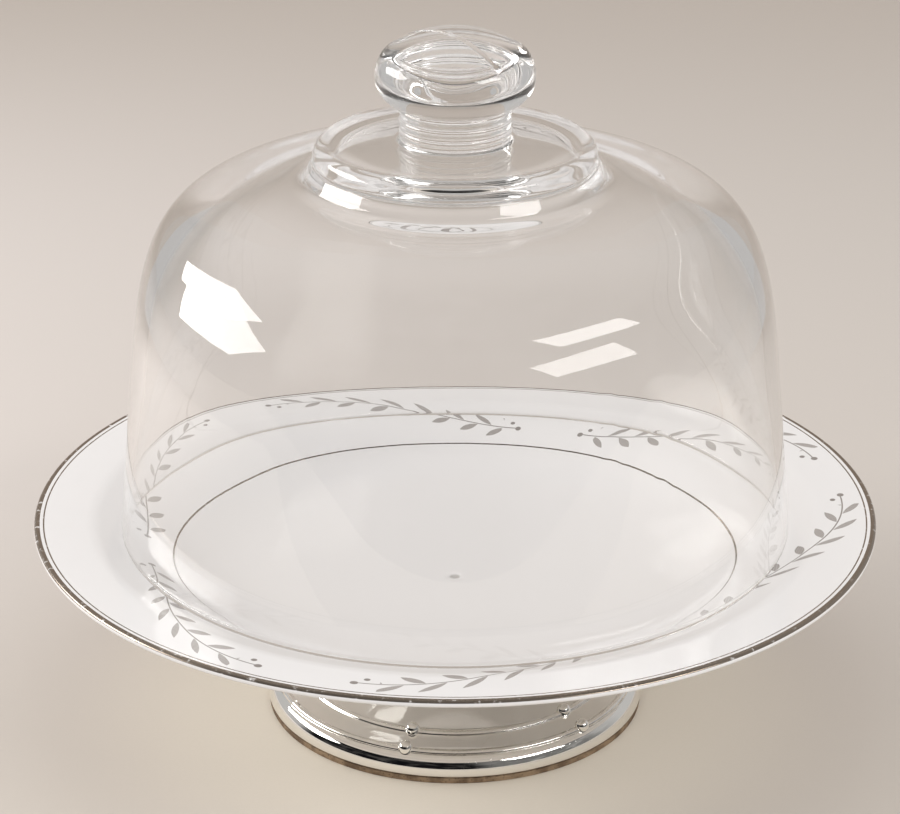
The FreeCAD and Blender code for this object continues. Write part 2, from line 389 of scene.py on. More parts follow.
def plate_outline():
    """Outline from the middle of the underside, round the lip, to the dimple at the top."""
    lip_radius = plate_radius - lip_reach
    lip_top = spot(lip_radius, plate_height)
    lip_side = spot(plate_radius, plate_height - lip_thickness / 2)
    lip_under = spot(lip_radius, plate_height - lip_thickness)
    level = spot(1, 0)
    break_point = spot(break_radius, break_height)
    flange_way = unit(break_point - lip_top)
    ledge_way = -spot(math.cos(math.radians(ledge_slope)), math.sin(math.radians(ledge_slope)))
    well_way = -spot(math.cos(math.radians(well_slope)), math.sin(math.radians(well_slope)))
    break_start = break_point - flange_way * flange_break
    break_end = break_point + ledge_way * flange_break
    corner_radius = verge_radius + verge_rounding
    verge_corner = spot(corner_radius, break_height - (break_radius - corner_radius) * ledge_fall)
    verge_start = verge_corner - ledge_way * verge_rounding
    verge_end = verge_corner + well_way * verge_rounding
    side_end = verge_end + well_way * well_side_length
    centre_top = spot(0, floor_height)
    centre_under = spot(0, seat_height)
    floor_corner = crossing(side_end, well_way, centre_top, level)

    half_turn = math.radians((well_slope - ledge_slope) / 2)
    tilt = math.radians((well_slope + ledge_slope) / 2)
    under_corner = verge_corner + spot(math.sin(tilt), -math.cos(tilt)) * plate_wall / math.cos(half_turn)
    under_break = spot(break_radius, break_height - flange_wall)
    under_ledge = unit(under_break - under_corner)
    under_start = under_corner + under_ledge * verge_rounding
    under_end = under_corner + well_way * verge_rounding
    under_floor_corner = crossing(under_end, well_way, centre_under, level)
    under_floor = spot(plate_ring_radius + plate_ring_width, seat_height)
    break_under_start = under_break + unit(lip_under - under_break) * flange_break
    break_under_end = under_break - under_ledge * flange_break

    ring_round = plate_ring_width / 2
    ring_inner = plate_ring_radius - ring_round
    ring_outer = plate_ring_radius + ring_round
    ring_start = spot(ring_inner, seat_height)
    ring_end = spot(ring_outer, seat_height)
    ring_low = spot(plate_ring_radius, seat_height - plate_ring_height)
    sphere = (dimple_radius ** 2 + dimple_depth ** 2) / (2 * dimple_depth)
    r = np.linspace(dimple_radius, 0, 16)
    dimple_floor = floor_height - dimple_depth
    dimple = np.stack([r, dimple_floor + sphere - np.sqrt(sphere ** 2 - r ** 2)], 1)
    well = bend(centre_top, floor_corner, side_end, well_fullness_floor, well_fullness_side, 40)[::-1]
    return joined(
        straight(centre_under, ring_start, 8),
        swell(ring_start, ring_low, ring_end, 18),
        straight(ring_end, under_floor, 4),
        bend(under_end, under_floor_corner, under_floor, bend_fullness, bend_fullness, 16)[::-1],
        bend(under_start, under_corner, under_end, bend_fullness, bend_fullness, 12)[::-1],
        straight(under_start, break_under_end, 5),
        bend(break_under_start, under_break, break_under_end, bend_fullness, bend_fullness, 8)[::-1],
        straight(break_under_start, lip_under, 6),
        swell(lip_under, lip_side, lip_top, 17),
        straight(lip_top, break_start, 8),
        bend(break_end, break_point, break_start, bend_fullness, bend_fullness, 12)[::-1],
        straight(break_end, verge_start, 8),
        bend(verge_end, verge_corner, verge_start, bend_fullness, bend_fullness, 16)[::-1],
        straight(verge_end, side_end, 3),
        well[:-1][well[:-1, 0] > dimple_radius],
        dimple,
    )


# Glass dome

def dome_outline():
    """Outline from the middle of the ceiling, down the inside, up the outside, to the knob cap's edge."""
    taper = spot(-dome_side_taper, 1)
    outer_foot = spot(dome_radius, dome_foot_height)
    inner_foot = spot(dome_radius - dome_wall, dome_foot_height)
    foot_bottom = spot(dome_foot_radius, dome_foot_height - dome_wall / 2)
    outer_side = outer_foot + taper * dome_side_height
    inner_taper = spot(-inner_side_taper, 1)
    inner_side = inner_foot + inner_taper * inner_side_height
    root = spot(collar_radius + collar_flare, crown_height)
    crown_way = spot(1, -crown_slope)
    outer_corner = crossing(outer_side, taper, root, crown_way)

    ceiling_height = collar_top - ceiling_wall
    ceiling_radius = collar_radius - collar_wall
    ceiling = spot(0, ceiling_height)
    ceiling_start = spot(ceiling_radius - ceiling_rounding, ceiling_height)
    ceiling_side = spot(ceiling_radius, crown_height + ceiling_side_height)
    ceiling_way = spot(-ceiling_draft, 1)
    ceiling_corner = crossing(ceiling_start, spot(1, 0), ceiling_side, ceiling_way)
    ceiling_edge = spot(ceiling_radius + ceiling_spread, crown_height - crown_wall)
    ceiling_foot = crossing(ceiling_side, ceiling_way, ceiling_edge, crown_way)
    inner_corner = crossing(inner_side, inner_taper, ceiling_edge, crown_way)

    flare = math.radians(collar_flare_slope)
    flare_way = spot(-math.cos(flare), math.sin(flare))
    collar_side = spot(collar_radius, crown_height + collar_side_height)
    flare_corner = crossing(collar_side, flare_way, root, crown_way)
    flare_end = flare_corner + flare_way * collar_flare_fillet
    collar_edge = spot(collar_radius - collar_rounding, collar_top)
    neck_start = spot(neck_radius + neck_fillet, neck_bottom)
    neck_end = spot(neck_radius, neck_bottom + neck_fillet)
    collar_corner = crossing(collar_side, spot(0, 1), collar_edge, neck_start - collar_edge)

    belly = spot(knob_radius, neck_top + knob_belly_height)
    cap_centre = knob_top - knob_cap_radius
    edge = spot(knob_cap_edge, cap_centre + math.sqrt(knob_cap_radius ** 2 - knob_cap_edge ** 2))
    upper_corner = crossing(belly, spot(0, 1), edge, spot(edge[1] - cap_centre, -edge[0]))
    pitch = (neck_height - neck_fillet) / neck_ring_count
    neck = []
    here = neck_end
    for index in range(neck_ring_count):
        middle = neck_bottom + neck_fillet + pitch * (index + 0.5)
        low = spot(neck_radius, middle - neck_ring_width / 2)
        high = spot(neck_radius, middle + neck_ring_width / 2)
        neck += [
            straight(here, low, 3),
            swell(low, spot(neck_radius + neck_ring_proud, middle), high, 9),
        ]
        here = high
    return joined(
        straight(ceiling, ceiling_start, 8),
        bend(ceiling_start, ceiling_corner, ceiling_side, ceiling_fullness, ceiling_fullness, 18),
        bend(ceiling_side, ceiling_foot, ceiling_edge, ceiling_fullness, ceiling_fullness, 18),
        bend(ceiling_edge, inner_corner, inner_side, inner_fullness_crown, inner_fullness_side, 56),
        straight(inner_side, inner_foot, 10),
        swell(inner_foot, foot_bottom, outer_foot, 17),
        straight(outer_foot, outer_side, 7),
        bend(outer_side, outer_corner, root, shoulder_fullness_side, shoulder_fullness_crown, 64),
        bend(root, flare_corner, flare_end, collar_fullness, collar_fullness, 14),
        straight(flare_end, collar_side, 4),
        bend(collar_side, collar_corner, collar_edge, collar_fullness, collar_fullness, 20),
        straight(collar_edge, neck_start, 9),
        quarter(neck_start, spot(neck_radius, neck_bottom), neck_end, 7),
        *neck,
        straight(here, spot(neck_radius, neck_top), 3),
        bend(spot(neck_radius, neck_top), spot(knob_radius, neck_top + knob_root_rise), belly,
             knob_fullness, knob_fullness, 22),
        bend(belly, upper_corner, edge, knob_fullness, knob_fullness, 22),
    )


def pushed_in(points, inward, nearest, radius):
    """Moves each point that is nearer than radius to its nearest centre along inward, on to the
    round surface about that centre: t = -m.a + sqrt((m.a)^2 - |a|^2 + radius^2)."""
    away = points - nearest
    lean = (away * inward).sum(-1)
    spare = radius ** 2 - (away ** 2).sum(-1)
    step = np.where(spare > 0, np.sqrt(np.maximum(lean ** 2 + spare, 0)) - lean, 0)
    return points + inward * step[..., None]


def crease_axes():
    """Unit vectors across and along the knob's slant crease."""
    turn = math.radians(crease_turn)
    across = np.array([math.sin(turn), -math.cos(turn), 0])
    along = np.array([math.cos(turn), math.sin(turn), 0])
    return across, along


def creased(points, inward):
    """Cuts the knob's slant groove and its two notches into points that lie on the knob."""
    across, along = crease_axes()
    centre = across * crease_offset + np.array([0, 0, knob_top - knob_cap_radius])
    groove_radius = math.sqrt(knob_cap_radius ** 2 - crease_offset ** 2)
    arm = points - centre
    arm = arm - (arm @ across)[..., None] * across
    nearest = centre + arm / np.linalg.norm(arm, axis=-1)[..., None] * groove_radius
    points = pushed_in(points, inward, nearest, crease_tube)
    reach = math.sqrt(knob_cap_edge ** 2 - crease_offset ** 2) + notch_radius
    notch_height = math.sqrt(groove_radius ** 2 - reach ** 2) + notch_lift
    for side in (-1, 1):
        notch = centre + along * side * reach + np.array([0, 0, notch_height])
        points = pushed_in(points, inward, notch, notch_radius)
    return points


def dome_shell(cap_columns, cap_rows):
    """Closed surface of the dome: rings up to the cap's edge, then the cap in slices.

    The slices lie across the knob at offsets b = R cos a, each with points v R sin a for v
    from -1 to 1, so that they end on the rings' own points and are closest at the crease.
    """
    crease_angle = math.acos(crease_offset / knob_cap_edge)
    fine = np.array(crease_slices) / knob_cap_edge
    fine = np.concatenate([-fine[::-1], [0], fine]) / math.sin(crease_angle)
    even = np.linspace(0, np.pi, cap_columns + 2)[1:-1]
    even = even[abs(even - crease_angle) > fine[-1] + even[0] / 2]
    slices = np.sort(np.concatenate([even, crease_angle + fine]))
    count = len(slices)
    start = math.radians(crease_turn - 90)
    angles = start + np.concatenate([[0], slices, [np.pi], 2 * np.pi - slices[::-1]])
    columns = len(angles)

    outline = dome_outline()
    rings = outline[1:]
    normals = outline_normals(outline)[1:]
    points = ring_points(rings, angles)
    outward = ring_points(normals, angles)
    knob = rings[:, 1] > neck_top + knob_belly_height / 2
    points[knob] = creased(points[knob], -outward[knob])
    ring_total = len(rings) * columns
    pole = ring_total
    points = np.vstack([points.reshape(-1, 3), [[0, 0, outline[0, 1]]]])

    across, along = crease_axes()
    v = np.sin(np.linspace(-1, 1, cap_rows + 2)[1:-1] * np.pi / 2)
    b = knob_cap_edge * np.cos(slices)[:, None] + 0 * v
    a = knob_cap_edge * np.sin(slices)[:, None] * v
    cap_centre = np.array([0, 0, knob_top - knob_cap_radius])
    height = np.sqrt(knob_cap_radius ** 2 - a ** 2 - b ** 2)
    cap = a[..., None] * along + b[..., None] * across + cap_centre
    cap[..., 2] += height
    cap = creased(cap, (cap_centre - cap) / knob_cap_radius)
    cap_first = len(points)
    points = np.vstack([points, cap.reshape(-1, 3)])

    last = (len(rings) - 1) * columns
    right_end = last + 1 + np.arange(count)
    left_end = last + columns - 1 - np.arange(count)
    inner = cap_first + np.arange(count * cap_rows).reshape(count, cap_rows)
    rows = np.hstack([left_end[:, None], inner, right_end[:, None]])
    quads = np.stack([rows[:-1, :-1], rows[:-1, 1:], rows[1:, 1:], rows[1:, :-1]], -1).reshape(-1, 4)
    width = rows.shape[1] - 1
    near_pole, far_pole = np.full(width, last), np.full(width, last + count + 1)
    near = np.stack([near_pole, rows[0, 1:], rows[0, :-1]], -1)
    far = np.stack([far_pole, rows[-1, :-1], rows[-1, 1:]], -1)
    faces = band_faces(0, len(rings), columns).tolist()
    faces += quads.tolist() + near.tolist() + far.tolist()
    faces += fan_faces(pole, 0, columns, 1).tolist()
    return points, faces


# Plated foot

def shoulder_height(radius):
    """Height of the foot's gently sloping shoulder."""
    slope = math.tan(math.radians(foot_shoulder_slope))
    return foot_shoulder_height + (ring_radius_lower - radius) * slope


def foot_skin(skin):
    """The foot's line from its bottom edge to its waist, moved inwards by skin, as three runs."""
    side = foot_radius - skin
    low = spot(side, pad_thickness + foot_edge_height)
    shoulder_start = spot(ring_radius_lower, shoulder_height(ring_radius_lower) - skin)
    roll_corner = spot(side, shoulder_height(side) - skin)
    shoulder_end = spot(ring_radius_upper, shoulder_height(ring_radius_upper) - skin)
    waist = spot(waist_radius - skin, waist_height)
    flare_corner = spot(waist_radius - skin, shoulder_height(waist_radius - skin) - skin)
    return joined(
        bend(low, roll_corner, shoulder_start, foot_roll_fullness, foot_roll_fullness, 36),
        straight(shoulder_start, shoulder_end, 8),
        bend(shoulder_end, flare_corner, waist, flare_fullness_low, flare_fullness_waist, 40),
    )


def with_rings(skin):
    """Raises the foot's line to the two round rings, whose section is a circle:
    z = max(z, centre + sqrt(tube^2 - (r - R)^2))."""
    for radius in (ring_radius_lower, ring_radius_upper):
        centre = shoulder_height(radius) - ring_sink
        arc = np.linspace(0, np.pi, 25)
        bump = np.stack([radius + ring_tube * np.cos(arc), centre + ring_tube * np.sin(arc)], 1)
        under = np.interp(bump[:, 0], skin[::-1, 0], skin[::-1, 1])
        bump = bump[bump[:, 1] > under]
        before = skin[skin[:, 0] > bump[0, 0] + ring_join]
        after = skin[skin[:, 0] < bump[-1, 0] - ring_join]
        skin = np.vstack([before, bump, after])
    return skin


def foot_outline():
    """Outline from the middle of the hollow's top, down the inside, up the outside, to the seat."""
    seat_radius = plate_ring_radius - plate_ring_width / 2 - seat_clearance
    seat_under = seat_height - seat_thickness
    inner = foot_skin(foot_wall)
    outer = with_rings(foot_skin(0))
    low = outer[0]
    bottom_edge = spot(foot_radius - foot_edge_height, pad_thickness)
    lip_edge = spot(foot_radius - foot_lip, pad_thickness)
    lip_top = spot(foot_radius - foot_lip, pad_thickness + foot_edge_height)
    waist = spot(waist_radius, waist_height)
    hollow_top = spot(waist_radius - foot_wall, seat_under - foot_wall)
    seat_corner = spot(waist_radius, seat_under)
    seat_side = spot(seat_radius, seat_under + seat_edge_rounding)
    seat_bottom = spot(seat_radius - seat_edge_rounding, seat_under)
    seat_top_side = spot(seat_radius, seat_height - seat_edge_rounding)
    seat_top = spot(seat_radius - seat_edge_rounding, seat_height)
    return joined(
        straight(spot(0, hollow_top[1]), hollow_top, 5),
        straight(hollow_top, inner[-1], 3),
        inner[::-1],
        straight(inner[0], lip_top, 3),
        straight(lip_top, lip_edge, 3),
        straight(lip_edge, bottom_edge, 3),
        quarter(bottom_edge, spot(foot_radius, pad_thickness), low, 8),
        outer,
        bend(waist, seat_corner, seat_bottom, seat_fullness_waist, seat_fullness_edge, 20),
        quarter(seat_bottom, spot(seat_radius, seat_under), seat_side, 8),
        straight(seat_side, seat_top_side, 2),
        quarter(seat_top_side, spot(seat_radius, seat_height), seat_top, 8),
        straight(seat_top, spot(0, seat_height), 5),
    )


def ball(centre, radius):
    """Closed sphere: a half circle turned about the upright through its centre."""
    a = np.linspace(-np.pi / 2, np.pi / 2, 19)
    outline = np.stack([radius * np.cos(a), radius * np.sin(a)], 1)
    outline[[0, -1], 0] = 0
    points, faces = turned(outline, 32)
    return points + centre, faces


def foot_balls():
    """The small balls at even steps round both rings."""
    shells = []
    for radius in (ring_radius_lower, ring_radius_upper):
        for index in range(ball_count):
            a = math.radians(ball_first_angle + 360 / ball_count * index)
            height = shoulder_height(radius) + ball_lift
            centre = np.array([radius * math.cos(a), radius * math.sin(a), height])
            shells.append(ball(centre, ball_radius))
    return shells


def pad_outline():
    """Flat disc with slightly rounded edges."""
    side = foot_radius - pad_inset
    inside = side - pad_edge_rounding
    low = pad_edge_rounding
    high = pad_thickness - pad_edge_rounding
    return joined(
        straight(spot(0, 0), spot(inside, 0), 6),
        quarter(spot(inside, 0), spot(side, 0), spot(side, low), 5),
        straight(spot(side, low), spot(side, high), 4),
        quarter(spot(side, high), spot(side, pad_thickness), spot(inside, pad_thickness), 5),
        straight(spot(inside, pad_thickness), spot(0, pad_thickness), 6),
    )


# Material nodes

class Graph:
    """Adds nodes to one tree and links them; sockets and plain numbers both serve as values."""

    def __init__(self, tree):
        self.tree = tree

    def put(self, socket, value):
        """Links a socket's value or sets a plain one."""
        if isinstance(value, bpy.types.NodeSocket):
            self.tree.links.new(value, socket)
        else:
            socket.default_value = value

    def node(self, kind, values=None, **settings):
        made = self.tree.nodes.new(kind)
        for name, value in settings.items():
            setattr(made, name, value)
        for name, value in (values or {}).items():
            self.put(made.inputs[name], value)
        return made

    def math(self, operation, *values):
        made = self.tree.nodes.new("ShaderNodeMath")
        made.operation = operation
        for index, value in enumerate(values):
            self.put(made.inputs[index], value)
        return made.outputs[0]

    def add(self, a, b):
        return self.math("ADD", a, b)

    def less(self, a, b):
        return self.math("SUBTRACT", a, b)

    def times(self, a, b):
        return self.math("MULTIPLY", a, b)

    def most(self, *values):
        found = values[0]
        for value in values[1:]:
            found = self.math("MAXIMUM", found, value)
        return found

    def step(self, value, low, high):
        """Smooth step from 0 at low to 1 at high; low may be above high for a falling one."""
        made = self.tree.nodes.new("ShaderNodeMapRange")
        made.interpolation_type = "SMOOTHSTEP"
        reverse = low > high
        bounds = (high, low, 1.0, 0.0) if reverse else (low, high, 0.0, 1.0)
        self.put(made.inputs["Value"], value)
        for name, bound in zip(("From Min", "From Max", "To Min", "To Max"), bounds):
            made.inputs[name].default_value = bound
        return made.outputs["Result"]

    def band(self, value, low, high, soft):
        """1 between low and high and 0 outside, over soft."""
        rise = self.step(value, low - soft, low + soft)
        return self.times(rise, self.step(value, high + soft, high - soft))

    def line(self, value, middle, width, soft):
        """1 within half a width of the middle."""
        return self.band(value, middle - width / 2, middle + width / 2, soft)

    def length(self, a, b):
        """Length of the vector (a, b)."""
        return self.math("SQRT", self.add(self.times(a, a), self.times(b, b)))

    def size(self, value):
        """The value without its sign."""
        return self.math("ABSOLUTE", value)

    def noise(self, place, scale, detail):
        """Cloudy value about 0.5 that changes over the place."""
        return self.node("ShaderNodeTexNoise", {
            "Vector": place,
            "Scale": scale,
            "Detail": detail,
        }).outputs[0]

    def split(self, place):
        """The three coordinates of a place or direction."""
        return self.node("ShaderNodeSeparateXYZ", {"Vector": place}).outputs

    def show(self, shader):
        """Makes a shader the material's surface."""
        self.node("ShaderNodeOutputMaterial", {"Surface": shader.outputs[0]})

    def colour(self, factor, a, b):
        """Mix of two colours, a at 0 and b at 1."""
        made = self.tree.nodes.new("ShaderNodeMix")
        made.data_type = "RGBA"
        self.put(made.inputs["Factor"], factor)
        self.put(made.inputs["A"], a)
        self.put(made.inputs["B"], b)
        return made.outputs["Result"]


def paint(r, g, b):
    """Linear colour from the 0 to 255 values that it shows as."""
    def linear(value):
        value /= 255
        return value / 12.92 if value <= 0.04045 else ((value + 0.055) / 1.055) ** 2.4
    return (linear(r), linear(g), linear(b), 1.0)


# Colours
glaze_pale = paint(241, 239, 238)
glaze_grey = paint(235, 233, 232)
# Painted shade: colour that darkens the glaze inside the small dimple in the middle of the well
dimple_painted_shade = paint(150, 145, 138)
platinum = paint(150, 138, 126)
leaf_wash = paint(168, 160, 152)
leaf_line = paint(118, 109, 102)
glass_tint = (0.98, 0.978, 0.975, 1.0)
glass_shade = (0.94, 0.935, 0.93, 1.0)
silver_pale = (0.975, 0.965, 0.94, 1.0)
silver_deep = (0.95, 0.94, 0.91, 1.0)
silver_tarnish = (0.36, 0.31, 0.24, 1.0)
cork_dark = paint(104, 84, 64)
cork_pale = paint(148, 126, 100)
cork_speck = paint(74, 56, 42)
# Paper colours with painted light and shade: lighter to the left, painted shade to the right, far behind
# and in front, and a painted pool of light by the foot
paper_left_painted_light = paint(212, 204, 198)
paper_right_painted_shade = paint(208, 200, 192)
paper_far_painted_shade = paint(200, 190, 180)
paper_near_painted_shade = paint(205, 197, 187)
# Painted light: a much paler paper colour for a painted pool of light round the foot, where the object's
# shadow falls
paper_painted_light_by_foot = paint(238, 231, 218)
paper_fleck = paint(150, 140, 128)
lamp_white = (1.0, 0.985, 0.965, 1.0)
even_light = (0.88, 0.875, 0.88, 1.0)
wall_behind = (0.50, 0.49, 0.48, 1.0)
room_front = (0.16, 0.157, 0.152, 1.0)
room_front_pale = (0.34, 0.333, 0.325, 1.0)
room_low = (0.005, 0.005, 0.006, 1.0)
room_low_pale = (0.06, 0.057, 0.055, 1.0)


def effect(name, inputs, outputs):
    """Empty node group with the named float inputs, a Coordinates input and the named outputs."""
    tree = bpy.data.node_groups.new(name, "ShaderNodeTree")
    tree.interface.new_socket("Coordinates", in_out="INPUT", socket_type="NodeSocketVector")
    for label, value in inputs.items():
        socket = tree.interface.new_socket(label, in_out="INPUT", socket_type="NodeSocketFloat")
        socket.default_value = value
    for label in outputs:
        tree.interface.new_socket(label, in_out="OUTPUT", socket_type="NodeSocketFloat")
    graph = Graph(tree)
    return tree, graph, graph.node("NodeGroupInput").outputs, graph.node("NodeGroupOutput").inputs


def waves_effect():
    """Gentle uneven height, as in fired glaze, blown glass and buffed metal."""
    values = {"Scale": 40.0, "Fine Scale": 300.0, "Fine Share": 0.2}
    tree, g, given, out = effect("surface_waves", values, ["Height"])
    broad = g.noise(given["Coordinates"], given["Scale"], 1.0)
    fine = g.noise(given["Coordinates"], given["Fine Scale"], 2.0)
    g.put(out["Height"], g.add(broad, g.times(fine, given["Fine Share"])))
    return tree


scratch_angles = (0.4, 2.1)
scratch_stretch = 0.12


def marks_effect():
    """Thin random scratches and soft smears, as masks from 0 to 1."""
    values = {"Scale": 60.0, "Scratch Width": 0.02}
    tree, g, given, out = effect("handling_marks", values, ["Scratches", "Smears"])
    turns = []
    for angle in scratch_angles:
        turned_by = g.node("ShaderNodeMapping", {
            "Vector": given["Coordinates"],
            "Rotation": (0.0, angle / 3, angle),
            "Scale": (1.0, scratch_stretch, scratch_stretch),
        })
        cells = g.node("ShaderNodeTexVoronoi", {
            "Vector": turned_by.outputs[0],
            "Scale": given["Scale"],
        }, feature="DISTANCE_TO_EDGE")
        edge = g.math("LESS_THAN", cells.outputs["Distance"], given["Scratch Width"])
        gate = g.noise(given["Coordinates"], 9.0 + angle, 2.0)
        turns.append(g.times(edge, g.step(gate, 0.56, 0.66)))
    smear = g.noise(given["Coordinates"], 14.0, 5.0)
    g.put(out["Scratches"], g.most(*turns))
    g.put(out["Smears"], g.step(smear, 0.5, 0.72))
    return tree


def material(name):
    """New material with nodes and an empty tree, with its graph and Object coordinates."""
    made = bpy.data.materials.new(name)
    made.use_nodes = True
    made.node_tree.nodes.clear()
    graph = Graph(made.node_tree)
    place = graph.node("ShaderNodeTexCoord").outputs["Object"]
    return made, graph, place


def place_effect(g, tree, place, values):
    """Puts an effect into a material with its own values."""
    made = g.node("ShaderNodeGroup", node_tree=tree)
    g.put(made.inputs["Coordinates"], place)
    for label, value in values.items():
        g.put(made.inputs[label], value)
    return made.outputs


def bumped(g, height, distance, strength):
    """Normal of a surface with the given relief."""
    values = {"Height": height, "Distance": distance, "Strength": strength}
    return g.node("ShaderNodeBump", values).outputs[0]


def in_millimetres(g, place):
    """The three coordinates and the distance from the axis, in millimetres."""
    split = g.split(place)
    x, y, z = (g.times(split[axis], 1 / MM) for axis in "XYZ")
    return x, y, z, g.length(x, y)


def leaf_mask(g, along, across, slant):
    """Mask and midrib of a pointed leaf whose axis leans by slant: |q| < w (1 - (p / l)^2)."""
    c, s = math.cos(slant), math.sin(slant)
    p = g.add(g.times(along, c), g.times(across, s))
    q = g.less(g.times(across, c), g.times(along, s))
    share = g.times(p, 1 / leaf_half_length)
    limit = g.times(g.less(1.0, g.times(share, share)), leaf_half_width)
    inside = g.less(limit, g.math("ABSOLUTE", q))
    return g.step(inside, -leaf_soft, leaf_soft), q


def spray_mask(g, x, y, radius):
    """Taupe sprays round the plate: in each sixth of the circle an S-shaped stem
    t = A sin(pi s / 2L), leaves to either side of it at an even pitch and berries at its ends."""
    angle = g.math("ARCTAN2", x, g.times(y, -1.0))
    sector = 2 * math.pi / spray_count
    turns = g.math("DIVIDE", g.add(angle, math.pi + spray_turn), sector)
    cell = g.math("FLOOR", turns)
    local = g.times(g.less(g.less(turns, cell), 0.5), sector)
    odd = g.math("MODULO", cell, 2.0)
    flip = g.less(1.0, g.times(g.math("GREATER_THAN", odd, 0.5), 2.0))
    s = g.times(g.times(local, flip), spray_middle)
    t = g.less(radius, spray_middle)
    phase = g.times(s, math.pi / 2 / stem_half_length)
    stem = g.times(g.math("SINE", phase), stem_sweep)
    slope = g.times(g.math("COSINE", phase), stem_sweep * math.pi / 2 / stem_half_length)
    off = g.math("DIVIDE", g.less(t, stem), g.length(1.0, slope))
    inside = g.step(g.size(s), stem_half_length, stem_half_length - stem_end_soft)
    line = g.times(g.step(g.size(off), stem_width + stem_soft, stem_width - stem_soft), inside)

    leafy_length = stem_half_length - leaf_pitch / 2
    leafy = g.step(g.size(s), leafy_length, leafy_length - leaf_end_soft)
    leaves, ribs = [], []
    for side in (1, -1):
        shifted = g.add(s, leaf_pitch * (10 + leaf_stagger * side))
        wrapped = g.less(g.math("MODULO", shifted, leaf_pitch), leaf_pitch / 2)
        mask, rib = leaf_mask(g, wrapped, g.less(g.times(off, side), leaf_stand), leaf_slant)
        fine = g.size(g.math("SINE", g.times(rib, rib_turns)))
        leaves.append(g.times(mask, leafy))
        ribs.append(g.times(g.times(mask, fine), leafy))

    berries = []
    small = berry_radius * berry_small_share
    for end in (1, -1):
        for past, above, size in ((1.0, 0.2, berry_radius), (-2.2, -3.2, small)):
            ds = g.less(s, end * (stem_half_length + past))
            dt = g.less(t, end * (stem_sweep + above))
            berries.append(g.step(g.length(ds, dt), size + stem_soft, size - stem_soft))
    return line, g.most(*leaves), g.most(*ribs), g.most(*berries)


def porcelain_material(waves, marks):
    """Warm white glaze with a platinum rim, two thin lines and the leafy sprays."""
    made, g, place = material("glazed_porcelain")
    x, y, z, radius = in_millimetres(g, place)
    ledge_drop = g.times(g.math("MAXIMUM", g.less(break_radius, radius), 0.0), ledge_fall)
    flange_lift = g.times(g.less(radius, break_radius), glaze_side_slope)
    top_side = g.less(g.add(z, ledge_drop), flange_lift)
    edge = break_height - glaze_edge_depth
    above = g.step(top_side, edge - glaze_edge_soft, edge + glaze_edge_soft)
    rim_height = plate_height - rim_band_depth
    rim_top = g.step(z, rim_height - rim_band_soft, rim_height + rim_band_soft)
    rim_band = g.band(radius, plate_radius - rim_band_width, plate_radius + rim_band_past, line_soft)
    rim_line = g.line(radius, plate_radius - rim_line_inset, rim_line_width, line_soft)
    verge_line = g.line(radius, verge_radius, verge_line_width, line_soft)
    lines = g.times(g.most(rim_line, verge_line), above)
    stem, leaves, ribs, berries = spray_mask(g, x, y, radius)
    ornament = g.times(g.most(stem, ribs, berries), above)
    wash = g.times(leaves, above)

    smears = place_effect(g, marks, place, {"Scale": 30.0, "Scratch Width": 0.01})
    glaze = g.colour(g.noise(place, 7.0, 3.0), glaze_pale, glaze_grey)
    glaze = g.colour(g.times(wash, 0.42), glaze, leaf_wash)
    glaze = g.colour(g.times(ornament, 0.85), glaze, leaf_line)
    # Painted shade: the glaze is darkened within the dimple's small hollow, where shade falls
    dimple_shade = g.step(radius, dimple_radius, dimple_radius - dimple_shade_soft)
    glaze = g.colour(g.times(dimple_shade, 0.55), glaze, dimple_painted_shade)
    worn = g.step(g.noise(place, 420.0, 3.0), 0.2, 0.42)
    metal = g.times(g.most(g.times(rim_band, rim_top), lines), worn)
    glaze = g.colour(metal, glaze, platinum)
    height = place_effect(g, waves, place, {"Scale": 28.0, "Fine Scale": 260.0, "Fine Share": 0.05})
    gloss = g.add(0.09, g.times(smears["Smears"], 0.05))
    shader = g.node("ShaderNodeBsdfPrincipled", {
        "Base Color": glaze,
        "Roughness": g.add(gloss, g.times(metal, 0.12)),
        "Metallic": g.times(metal, 0.85),
        "Normal": bumped(g, height["Height"], 0.0004, 0.35),
        "IOR": 1.52,
    })
    g.show(shader)
    return made


def glass_material(waves, marks):
    """Clear glass with the slight waves of blown and pressed work and faint handling marks."""
    made, g, place = material("clear_glass")
    height = place_effect(g, waves, place, {"Scale": 16.0, "Fine Scale": 90.0, "Fine Share": 0.03})
    smears = place_effect(g, marks, place, {"Scale": 22.0, "Scratch Width": 0.004})
    glass = g.node("ShaderNodeBsdfPrincipled", {
        "Base Color": glass_tint,
        "Roughness": g.times(smears["Smears"], 0.02),
        "Transmission Weight": 1.0,
        "IOR": 1.5,
        "Normal": bumped(g, height["Height"], 0.0006, 0.25),
    })
    rays = g.node("ShaderNodeLightPath").outputs
    clear = g.node("ShaderNodeBsdfTransparent", {"Color": glass_shade}).outputs[0]
    lit = g.node("ShaderNodeMixShader", {
        0: rays["Is Diffuse Ray"],
        1: glass.outputs[0],
        2: clear,
    })
    g.show(g.node("ShaderNodeMixShader", {
        0: rays["Is Shadow Ray"],
        1: lit.outputs[0],
        2: clear,
    }))
    return made


